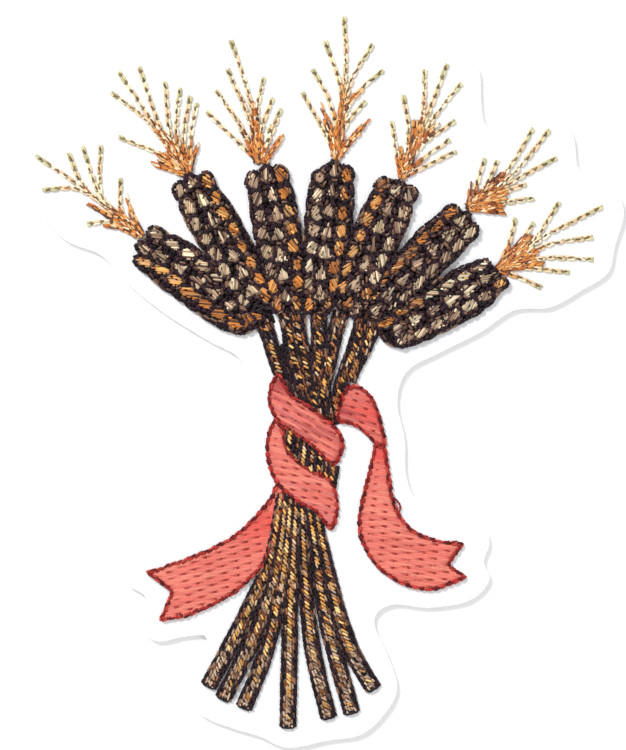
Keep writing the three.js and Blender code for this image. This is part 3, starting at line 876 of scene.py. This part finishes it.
UPPER_STALKS = [
    [(-8.1, 7.4), (-7.2, 4.9), (-6.65, 2.9), (-6.1, 1.25), (-5.4, -0.6)],
    [(-4.9, 8.4), (-4.4, 6.0), (-3.9, 2.2), (-3.3, 1.1), (-2.5, -2.6)],
    [(-3.3, 8.2), (-3.05, 5.0), (-2.6, 3.5), (-2.2, 1.5), (-1.8, -0.55), (-1.5, -4.0)],
    [(-0.3, 8.4), (-0.3, 4.85), (-0.4, 2.5), (-0.3, 1.1), (-0.7, -1.0), (-0.9, -4.6)],
    [(2.9, 8.4), (2.2, 6.4), (1.5, 3.2), (1.0, 0.7), (0.3, -2.35), (0.1, -5.8)],
    [(5.9, 7.6), (4.7, 3.5), (3.5, 0.55), (2.6, -2.35), (1.6, -6.4)],
    [(7.5, 6.9), (6.2, 3.9), (5.5, 2.2), (4.6, 0.7), (3.9, -1.2)],
]
UPPER_HALF = (1.15, 0.95)  # half a stalk's width at its upper end, and from 0.6 of its length on
# Dark stitching that closes the gaps between the upper stalks at their two ends.
FILLINGS = [[(-6.0, 3.6), (-5.0, 4.4), (-4.2, 2.0), (-3.2, -1.0), (-1.6, -5.0), (-4.4, -3.9),
             (-6.2, -1.4), (-6.6, 1.2)],
            [(-1.6, -3.0), (0.6, -3.0), (3.2, -1.6), (3.0, -4.4), (2.9, -7.0), (1.6, -7.4),
             (-0.6, -5.6)],
            [(-9.4, 8.8), (-6.6, 8.8), (-6.4, 6.2), (-7.6, 5.4), (-8.8, 6.4)],
            [(4.6, 9.0), (8.8, 8.4), (8.8, 6.2), (7.4, 5.2), (5.2, 6.4)]]
LOWER_STALKS = [
    [(-5.5, -16.6), (-6.2, -21.4), (-7.1, -26.2), (-8.8, -30.1), (-11.2, -35.2), (-15.6, -43.4)],
    [(-4.9, -17.0), (-5.3, -22.0), (-6.0, -26.6), (-7.2, -31.4), (-10.5, -39.1), (-13.6, -45.2)],
    [(-4.2, -17.4), (-4.5, -21.4), (-5.0, -26.4), (-5.9, -31.6), (-7.9, -39.4), (-10.7, -46.4)],
    [(-3.4, -17.8), (-3.7, -23.3), (-4.0, -29.0), (-4.3, -34.0), (-4.4, -40.0), (-4.6, -49.1)],
    [(-2.6, -18.4), (-2.4, -23.4), (-2.1, -28.8), (-1.7, -34.4), (-0.7, -40.6), (1.1, -47.8)],
    [(-1.6, -19.0), (-1.0, -22.6), (-0.4, -27.0), (0.5, -33.0), (2.1, -39.4), (4.3, -47.1)],
    [(-0.6, -19.6), (0.1, -22.8), (1.2, -27.8), (2.4, -33.2), (4.3, -38.6), (7.3, -43.8)],
]
LOWER_HALF = (0.5, 1.12)
BETWEEN_HALF = (0.7, 0.7)
BETWEEN_BANDS = [[(x + 0.35, y + 1.6), (x - 0.15, y - 2.2)] for x, y in
                 ((-4.5, -9.4), (-3.5, -10.2), (-2.5, -11.2), (-1.4, -12.0), (-0.4, -12.9),
                  (0.6, -13.8), (1.4, -14.4))]


def stalk_stitches(sewing, points, half, cut_end=False, dull=0.0):
    """A stalk: a dark double line down each side, fine brown strands and a gold twist on them."""
    line = curve(points, 0.2)
    run = run_of(line)
    widths = np.interp(run, [0, run[-1] * 0.6], half)[:, None]
    lefts = left_of(line)
    sewing.run(line, 2.2, STALK_UNDERLAY, pick([STALK_EDGE]), half=0.3)
    for side in (-1, 1):
        for place, level, phase in STALK_EDGES:
            edge = line + lefts * widths * side * place
            sewing.run(edge, 1.15, level, pick([STALK_EDGE, *DARKS]), phase=phase, half=0.18)
    for place in STRANDS:
        core = line + lefts * widths * place
        if abs(place) > 0.2:
            core = core[widths[:, 0] > FULL_WIDTH]
            if len(core) < 8:
                continue
        length = run_of(core)[-1]
        at = np.cumsum(rng.uniform(0.6, 1.2, int(length / 0.6)))
        knots = along(core, np.concatenate([[0], at[at < length - 0.3], [length]]))
        tilt = left_of(knots) * 0.1
        for k in range(len(knots) - 1):
            near_end = cut_end and rng.random() < 0.9 * (k / len(knots)) ** 3
            draw = rng.random() - dull * 0.3
            palette = PALES if near_end or draw > 0.84 else WOODS if draw > 0.45 else [STALK_EDGE]
            colour = one_of(palette)
            # The strand's ends go over to dark brown: painted shade at the needle holes.
            sewing.add(knots[k] - tilt[k], knots[k + 1] + tilt[k + 1], STRAND_LEVEL, colour, WOODS[3],
                       0.14, 0.14)
    for at in np.arange(rng.uniform(0.2, 0.8), run[-1] - 0.8, TWIST):
        if rng.random() < 0.12 + dull:
            continue
        k = min(int(at / run[-1] * len(line)), len(line) - 1)
        reach = rng.uniform(0.65, 0.9) * (1 - 0.6 * dull)
        ends = along(line, at + rng.normal(0, 0.06) + np.array([0.0, reach]))
        sideways = lefts[k] * min(widths[k, 0] * 0.42, 0.36)
        faint = cut_end and rng.random() < 0.8 * (at / run[-1]) ** 3
        draw = rng.random()
        palette = PALES if faint or draw < 0.18 else WOODS if draw < 0.36 else GOLDS
        colour = one_of(palette) * rng.uniform(0.65, 1.3)
        # The twist stitch's ends go over to brown: painted shade at the needle holes.
        sewing.add(ends[0] - sideways, ends[1] + sideways, TWIST_LEVEL, colour, WOODS[0], 0.14, 0.15)
    if cut_end:
        across = lefts[-1] * widths[-1] * 0.8
        back = unit(line[-1] - line[-2]) * 0.28
        for k in range(2):
            sewing.add(line[-1] - across - back * k, line[-1] + across - back * k, 0.36, STALK_EDGE)
        light = back * 2.2
        # This pale stitch's ends also go over to brown, as painted shade at its needle holes.
        sewing.add(line[-1] - across * 0.55 - light, line[-1] + across * 0.55 - light, 0.46,
                   PALES[2], WOODS[0], 0.12, 0.14)


# ---------------- ribbon

CORALS = colours_from("dc7568 de7a6c d87165 df806f d56c60")
ROSES = colours_from("c0625b c66862 b85852 cc706a")
SHADED = colours_from("a23a3c ac4442 98363a")
# The colour that the ribbon's row stitches go over to at their ends: painted shade at the needle holes.
CORAL_END_SHADE = linear("b04440")
REDS = colours_from("7c181c 641418 8c2420 521216")
BRIGHT_REDS = colours_from("a83028 b84036 982822")
# Colours of the short stitches that paint the shade at the ribbon's needle points.
NEEDLE_SHADE_REDS = colours_from("b03c36 bc4a42 a0342f")
RIBBON_ROW = 0.33  # from one row of a ribbon's stitches to the next
RIBBON_STITCH = 5.6
RIBBON_FLATTENED = 0.38
RIBBON_UNDERLAY, ROW_LEVEL, NEEDLE_SHADE_LEVEL, OUTLINE_LEVEL = 0.12, 0.3, 0.35, 0.42
NEEDLE_SHADE_HALF = (0.07, 0.095)  # half the width of the short dark red stitches at the needle points, which are painted shade where the rows' threads dive into the cloth

BAND_UPPER = [
    (-5.8, 0.0), (-5.0, -1.6), (-4.1, -3.1), (-2.5, -4.0), (-0.9, -5.1), (0.7, -6.4),
    (2.1, -7.5), (3.0, -8.8), (3.1, -10.4), (2.6, -11.9), (1.6, -12.9), (0.8, -12.3),
    (-0.6, -10.7), (-2.5, -9.2), (-4.3, -8.1), (-6.2, -6.4), (-7.1, -4.8), (-7.3, -3.2),
    (-6.8, -1.2)]
BAND_LOWER = [
    (-6.3, -6.4), (-5.4, -7.4), (-5.0, -9.2), (-4.6, -10.7), (-2.9, -12.5), (-1.1, -13.6),
    (0.7, -14.2), (1.7, -15.2), (2.3, -17.0), (2.3, -19.5), (1.5, -21.8), (0.1, -20.3),
    (-1.0, -19.0), (-3.0, -18.0), (-5.0, -16.4), (-6.2, -15.2), (-7.1, -13.2), (-7.5, -11.0),
    (-7.3, -8.4)]
LOOP_RIGHT = [
    (2.2, -5.2), (3.2, -2.5), (4.2, -1.7), (5.5, -1.9), (6.9, -3.1), (7.8, -4.9), (8.4, -7.1),
    (8.9, -9.2), (8.9, -10.3), (7.8, -10.1), (6.9, -9.2), (5.6, -7.9), (4.1, -7.0), (2.4, -6.9)]
TAIL_RIGHT = (
    [(7.4, -9.9), (7.1, -11.5), (6.7, -13.6), (5.7, -17.3), (5.2, -21.0), (6.0, -24.2),
     (8.3, -27.4), (11.9, -29.5), (15.8, -30.0), (20.3, -28.2)],
    (17.6, -26.6),
    [(19.8, -23.6), (15.7, -23.1), (13.3, -22.1), (10.9, -19.7), (9.7, -16.0), (9.3, -12.8),
     (9.0, -10.0)])
TAIL_LEFT = (
    [(-4.9, -14.9), (-6.4, -15.6), (-6.9, -17.4), (-8.6, -19.3), (-11.6, -22.2), (-15.6, -24.5),
     (-19.8, -26.2), (-24.3, -27.6)],
    (-20.6, -30.3),
    [(-22.4, -34.3), (-18.4, -33.6), (-14.7, -32.0), (-11.4, -30.0), (-8.2, -26.8),
     (-6.2, -22.8)])
# Where the ribbon is shaded, at its folds, and where it is redder: each place's middle and radius.
SHADES = [((-6.0, -1.8), 2.4), ((3.0, -4.8), 1.8), ((8.6, -9.8), 1.2)]
WARM = linear("d64c44")
WARM_SPOTS = [((-7.6, -21.0), 4.2), ((6.6, -5.6), 2.4), ((8.2, -11.4), 2.4), ((-6.4, -14.6), 1.6)]
LOOSE_THREAD = [(10.0, -17.2), (10.7, -17.9), (11.1, -18.7), (10.7, -19.5)]


def tail_outline(inner, notch, outer):
    return np.vstack([curve(inner, 0.3), [notch], curve(outer, 0.3)])


def nearness(at, spots):
    """1 in the middle of any of the spots, and less and less away from them."""
    return max(math.exp(-2 * np.sum((at - np.array(place)) ** 2) / radius ** 2)
               for place, radius in spots)


def ribbon_colour(colours):
    """A colour for a place on the ribbon: redder near the knot, and darker in the shaded places."""
    def colour(at):
        warm = nearness(at, WARM_SPOTS) * 0.8
        base = one_of(colours) * (1 - warm) + WARM * warm
        shade = nearness(at, SHADES) * rng.uniform(0.7, 0.9)
        return base * (1 - shade) + one_of(SHADED) * shade
    return colour


def ribbon_stitches(outline, angle, colours):
    """Ribbon: a flat underlay, flat rows with staggered needle points, short dark red stitches on those
    points as painted shade, and a dark red outline.
    """
    sewing = Stitches((0.93, 1.06))
    sewing.fill(outline, angle + 1.2, 0.36, 2.6, RIBBON_UNDERLAY, pick(colours))
    before = len(sewing.rows)
    # The rows' ends go over to a dark coral: painted shade at the needle holes.
    sewing.fill(outline, angle, RIBBON_ROW, RIBBON_STITCH, ROW_LEVEL, ribbon_colour(colours),
                CORAL_END_SHADE, 0.03, 0.22)
    # A short dark red stitch over each row stitch's end: painted shade where the threads dive into the
    # cloth.
    for row in sewing.rows[before:]:
        a, b = np.array(row[0:2]), np.array(row[2:4])
        ahead = unit(b - a)
        if np.linalg.norm(b - a) > 1.5 and rng.random() < 0.9:
            reach = ahead * rng.uniform(0.18, 0.48)
            sink = np.array([-ahead[1], ahead[0]]) * rng.normal(-0.06, 0.08)
            b += ahead * rng.normal(0, 0.12)
            sewing.add(b - reach * 0.6 - sink, b + reach * 0.9 + sink, NEEDLE_SHADE_LEVEL, one_of(NEEDLE_SHADE_REDS),
                       None, 0.1, rng.uniform(*NEEDLE_SHADE_HALF))
    sewing.rows = [row for row in sewing.rows if row[6] > NEEDLE_SHADE_HALF[1] or inside(outline, [row[2:4]])[0]]
    edge = spaced(closed_ring(outline), 0.2)
    inward = ring_side(edge)
    sewing.tones = (0.75, 1.2)
    # The outline stitches' ends go over to dark red: painted shade at the needle holes.
    for shift, phase in ((0.0, 0.0), (0.2, 0.5)):
        sewing.run(edge, 0.98, OUTLINE_LEVEL, lambda k: one_of(REDS if k % 2 else BRIGHT_REDS),
                   shift * inward, phase, REDS[0], half=0.16, wander=0.07, tilt=0.08)
    return sewing


# ---------------- cloth

CLOTH_EDGE = [
    (3.2, 52.0), (6.9, 50.2), (9.6, 46.4), (12.0, 44.6), (15.2, 45.4), (18.8, 45.2), (21.8, 42.2),
    (22.2, 38.0), (22.8, 34.4), (25.2, 34.4), (28.4, 36.2), (32.6, 36.0), (35.0, 32.8),
    (35.6, 28.6), (37.6, 26.2), (41.0, 25.0), (42.0, 21.8), (40.8, 17.6), (39.8, 13.8),
    (36.2, 11.4), (31.8, 9.0), (26.8, 8.6), (22.2, 5.6), (16.6, 2.8), (12.0, 0.2), (10.6, -4.0),
    (11.6, -9.0), (11.9, -14.6), (14.0, -18.8), (18.0, -20.4), (21.9, -20.9), (23.4, -23.4),
    (22.6, -26.2), (23.4, -28.8), (20.6, -31.6), (15.0, -32.6), (9.8, -32.2), (7.4, -34.4),
    (9.4, -39.4), (10.6, -43.8), (8.8, -47.4), (5.6, -50.2), (1.0, -51.0), (-4.6, -52.0),
    (-8.6, -50.4), (-12.6, -49.2), (-16.6, -47.4), (-18.8, -43.8), (-17.4, -39.6),
    (-15.8, -36.6), (-18.8, -36.6), (-23.0, -37.2), (-25.4, -34.2), (-24.2, -31.2),
    (-26.9, -29.2), (-26.6, -25.8), (-22.6, -24.6), (-17.6, -22.6), (-13.2, -19.6),
    (-10.4, -15.4), (-9.9, -9.6), (-9.7, -3.4), (-11.2, 1.8), (-15.6, 4.4), (-21.4, 8.0),
    (-26.4, 12.0), (-30.4, 16.2), (-35.2, 18.2), (-38.6, 21.6), (-41.4, 25.4), (-41.8, 29.6),
    (-39.2, 32.8), (-35.6, 33.6), (-32.4, 35.0), (-31.6, 39.2), (-29.8, 43.4), (-25.6, 44.9),
    (-21.2, 43.2), (-18.0, 42.4), (-16.2, 44.8), (-14.2, 48.0), (-11.2, 48.2), (-8.4, 45.2),
    (-5.4, 43.0), (-3.2, 44.8), (-0.8, 49.2)]
GRID = 1.2  # from one point inside a sheet to the next
EDGE_ROUND = 0.12


def pulled_down(xy):
    """How far the stitches pull the cloth down, in soft hollows."""
    return 0.04 + 0.03 * np.sin(xy[:, 0] * 0.9) * np.sin(xy[:, 1] * 0.7)


def cut_sheet(name, edge, low, high, material, dimple):
    """A closed sheet between two levels with a softly rounded cut edge. dimple(xy) lowers its top.

    The edge's points run clockwise.
    """
    lefts = left_of(np.vstack([edge[-1:], edge, edge[:1]]))[1:-1]
    x0, y0 = edge.min(0)
    x1, y1 = edge.max(0)
    xs, ys = np.meshgrid(np.arange(x0, x1, GRID), np.arange(y0, y1, GRID))
    grid = np.stack([xs.ravel(), ys.ravel()], 1)
    grid += rng.uniform(-0.2, 0.2, grid.shape)
    rim = edge - lefts * EDGE_ROUND
    grid = grid[inside(edge - lefts * GRID * 0.6, grid)]
    n = len(rim)
    ring = [(i, (i + 1) % n) for i in range(n)]
    plane = [Vector(p) for p in np.vstack([rim, grid])]
    points, _, faces, sources, *_ = geometry.delaunay_2d_cdt(plane, ring, [], 1, 1e-6)
    flat = np.array(points)
    m = len(flat)
    rim_at = {i: k for k, given in enumerate(sources) for i in given}
    vertices = np.vstack([np.column_stack([flat, high - dimple(flat)]),
                          np.column_stack([flat, np.full(m, low)]),
                          *(np.column_stack([edge, np.full(n, level)])
                            for level in (high - EDGE_ROUND, low + EDGE_ROUND))])
    polygons = [*faces, *([i + m for i in face[::-1]] for face in faces)]
    chains = [(rim_at[i], 2 * m + i, 2 * m + n + i, m + rim_at[i]) for i in range(n)]
    for a, b in zip(chains, chains[1:] + chains[:1]):
        polygons += zip(a, b, b[1:], a[1:])
    mesh = bpy.data.meshes.new(name)
    mesh.from_pydata((vertices * MM).tolist(), [], polygons)
    mesh.update()
    put(mesh.polygons, "use_smooth", np.ones(len(mesh.polygons)), bool)
    mesh.materials.append(material)
    return linked(name, mesh)


# ---------------- assembly

make_camera()
make_light()

DARK_THREAD = thread_material("dark_thread", 0.45, 0.2, 0.0)
EAR_THREADS = (thread_material("ear_thread", 0.4, 0.4, 0.1), DARK_THREAD)
AWN_THREADS = (thread_material("awn_thread", 0.4, 0.4, 0.1),)
STALK_THREADS = (thread_material("stalk_thread", 0.36, 0.5, 0.1), DARK_THREAD)
RIBBON_THREADS = (thread_material("ribbon_thread", 0.6, 0.18, 0.0),)

ears = [Ear(*values) for values in EARS]
for i, ear in enumerate(ears):
    beside = ears[max(i - 1, 0):i + 2]
    sewing = ear_stitches(ear, [other.outline(0.1) for other in beside if other.layer < ear.layer])
    sewn(f"ear_{i + 1}", sewing, EAR_THREADS)

for i, (root, hairs) in enumerate(AWNS):
    sewn(f"awns_{i + 1}", awn_stitches(i + 1, np.array(root), hairs), AWN_THREADS)

band_upper, band_lower, loop_right = (curve(outline, 0.3, closed=True)
                                      for outline in (BAND_UPPER, BAND_LOWER, LOOP_RIGHT))
# The ribbon's pieces: their outlines, the direction of their rows, their colours and what lies on them.
ribbons = {
    "ribbon_band_upper": (band_upper, -0.5, CORALS[2:] + ROSES, []),
    "ribbon_band_lower": (band_lower, -0.25, CORALS[2:] + ROSES[3:], [band_upper]),
    "ribbon_loop_right": (loop_right, -0.3, [*ROSES[1:], CORALS[4], CORALS[2]], [band_upper]),
    "ribbon_tail_right": (tail_outline(*TAIL_RIGHT), -0.12, CORALS, [loop_right]),
    "ribbon_tail_left": (tail_outline(*TAIL_LEFT), 0.2, CORALS, [band_lower]),
}
for name, (outline, angle, colours, in_front) in ribbons.items():
    sewing = ribbon_stitches(outline, angle, colours)
    sewing.without(in_front)
    if name == "ribbon_tail_right":
        sewing.run(curve(LOOSE_THREAD, 0.1), 0.7, 0.3, pick(REDS), half=0.14)
    sewn(name, sewing, RIBBON_THREADS, RIBBON_FLATTENED)


def sew_stalks(name, lines, half, in_front, fillings=(), **kind):
    """The stalks of one node, without what lies under the outlines in front of them."""
    sewing = Stitches()
    for points in lines:
        stalk_stitches(sewing, points, half, **kind)
    sewing.without(in_front)
    for filling in fillings:
        sewing.fill(np.array(filling), 1.9, 0.32, 1.2, 0.1, pick([STALK_EDGE, *DARKS, WOODS[3]]))
    sewn(name, sewing, STALK_THREADS)


over_stalks = [*(ear.outline(0.9) for ear in ears), band_upper, loop_right]
for i, points in enumerate(UPPER_STALKS):
    fillings = FILLINGS if i == 3 else []
    sew_stalks(f"stalk_upper_{i + 1}", [points], UPPER_HALF, over_stalks, fillings, dull=0.3)
sew_stalks("stalks_between_bands", BETWEEN_BANDS, BETWEEN_HALF, [band_upper, band_lower], dull=0.25)
for i, points in enumerate(LOWER_STALKS):
    sew_stalks(f"stalk_lower_{i + 1}", [points], LOWER_HALF, [band_lower], cut_end=True)

# ---------------- underside and sheets

BOBBIN_HALF = 0.07
BOBBIN_LEVEL = 0.05
FELT_BOTTOM = BACKING_BOTTOM + 0.16  # the bobbin threads stand proud of it
BOBBIN = colours_from("e8e6e0 dedad0 f0eee8")


def bobbin_stitches():
    """The white thread on the underside: it runs under all that is sewn on the top."""
    sewing = Stitches()
    thin = {"lift": 0.02, "half": BOBBIN_HALF}
    shapes = [(ear.outline(0.4), 0.6 * k) for k, ear in enumerate(ears)]
    shapes += [(outline, angle + 0.5) for outline, angle, *_ in ribbons.values()]
    for outline, angle in shapes:
        sewing.fill(outline, angle, 0.7, 3.2, BOBBIN_LEVEL, pick(BOBBIN), **thin)
        sewing.run(closed_ring(outline), 2.2, BOBBIN_LEVEL, pick(BOBBIN), **thin)
    for points in [*UPPER_STALKS, *LOWER_STALKS]:
        for offset in (-0.8, -0.3, 0.3, 0.8):
            sewing.run(curve(points), 2.2, BOBBIN_LEVEL, pick(BOBBIN), offset, **thin)
    for root, hairs in AWNS:
        for x, y, via_x, via_y in hairs:
            sewing.run(curve([(x, y), (via_x, via_y), root]), 1.8, BOBBIN_LEVEL, pick(BOBBIN), **thin)
    return sewing


bobbin = make_mesh("bobbin_threads", bobbin_stitches(), FELT_BOTTOM,
                   (thread_material("bobbin_thread", 0.6, 0.3, 0.0),), FLATTENED, -1, 1.2)
cloth_edge = curve(CLOTH_EDGE, 0.7, closed=True)[:-1]
TWILL = new_material("white_twill", {"Roughness": 0.9, "Sheen Weight": 0.2}, twill_texture,
                     strength=0.35, depth=0.00008)
FELT = new_material("white_nonwoven", {"Roughness": 0.95}, felt_texture, strength=0.5, depth=0.00012)
cloth = cut_sheet("twill_cloth", cloth_edge, BACKING_TOP, CLOTH_TOP, TWILL, pulled_down)
backing = cut_sheet("stabiliser", cloth_edge, FELT_BOTTOM, BACKING_TOP, FELT,
                    lambda xy: np.zeros(len(xy)))
stands_for(cloth, "ground_cloth")
stands_for(backing, "backing")
stands_for(bobbin, "backing")

FLOOR = 1.5  # half its side, in metres
floor_mesh = bpy.data.meshes.new("floor")
corners = [(-FLOOR, -FLOOR, 0), (FLOOR, -FLOOR, 0), (FLOOR, FLOOR, 0), (-FLOOR, FLOOR, 0)]
floor_mesh.from_pydata(corners, [], [(0, 1, 2, 3)])
floor_mesh.materials.append(
    new_material("pale_floor", {"Base Color": (0.93, 0.93, 0.93, 1), "Roughness": 0.9}))
linked("floor", floor_mesh)
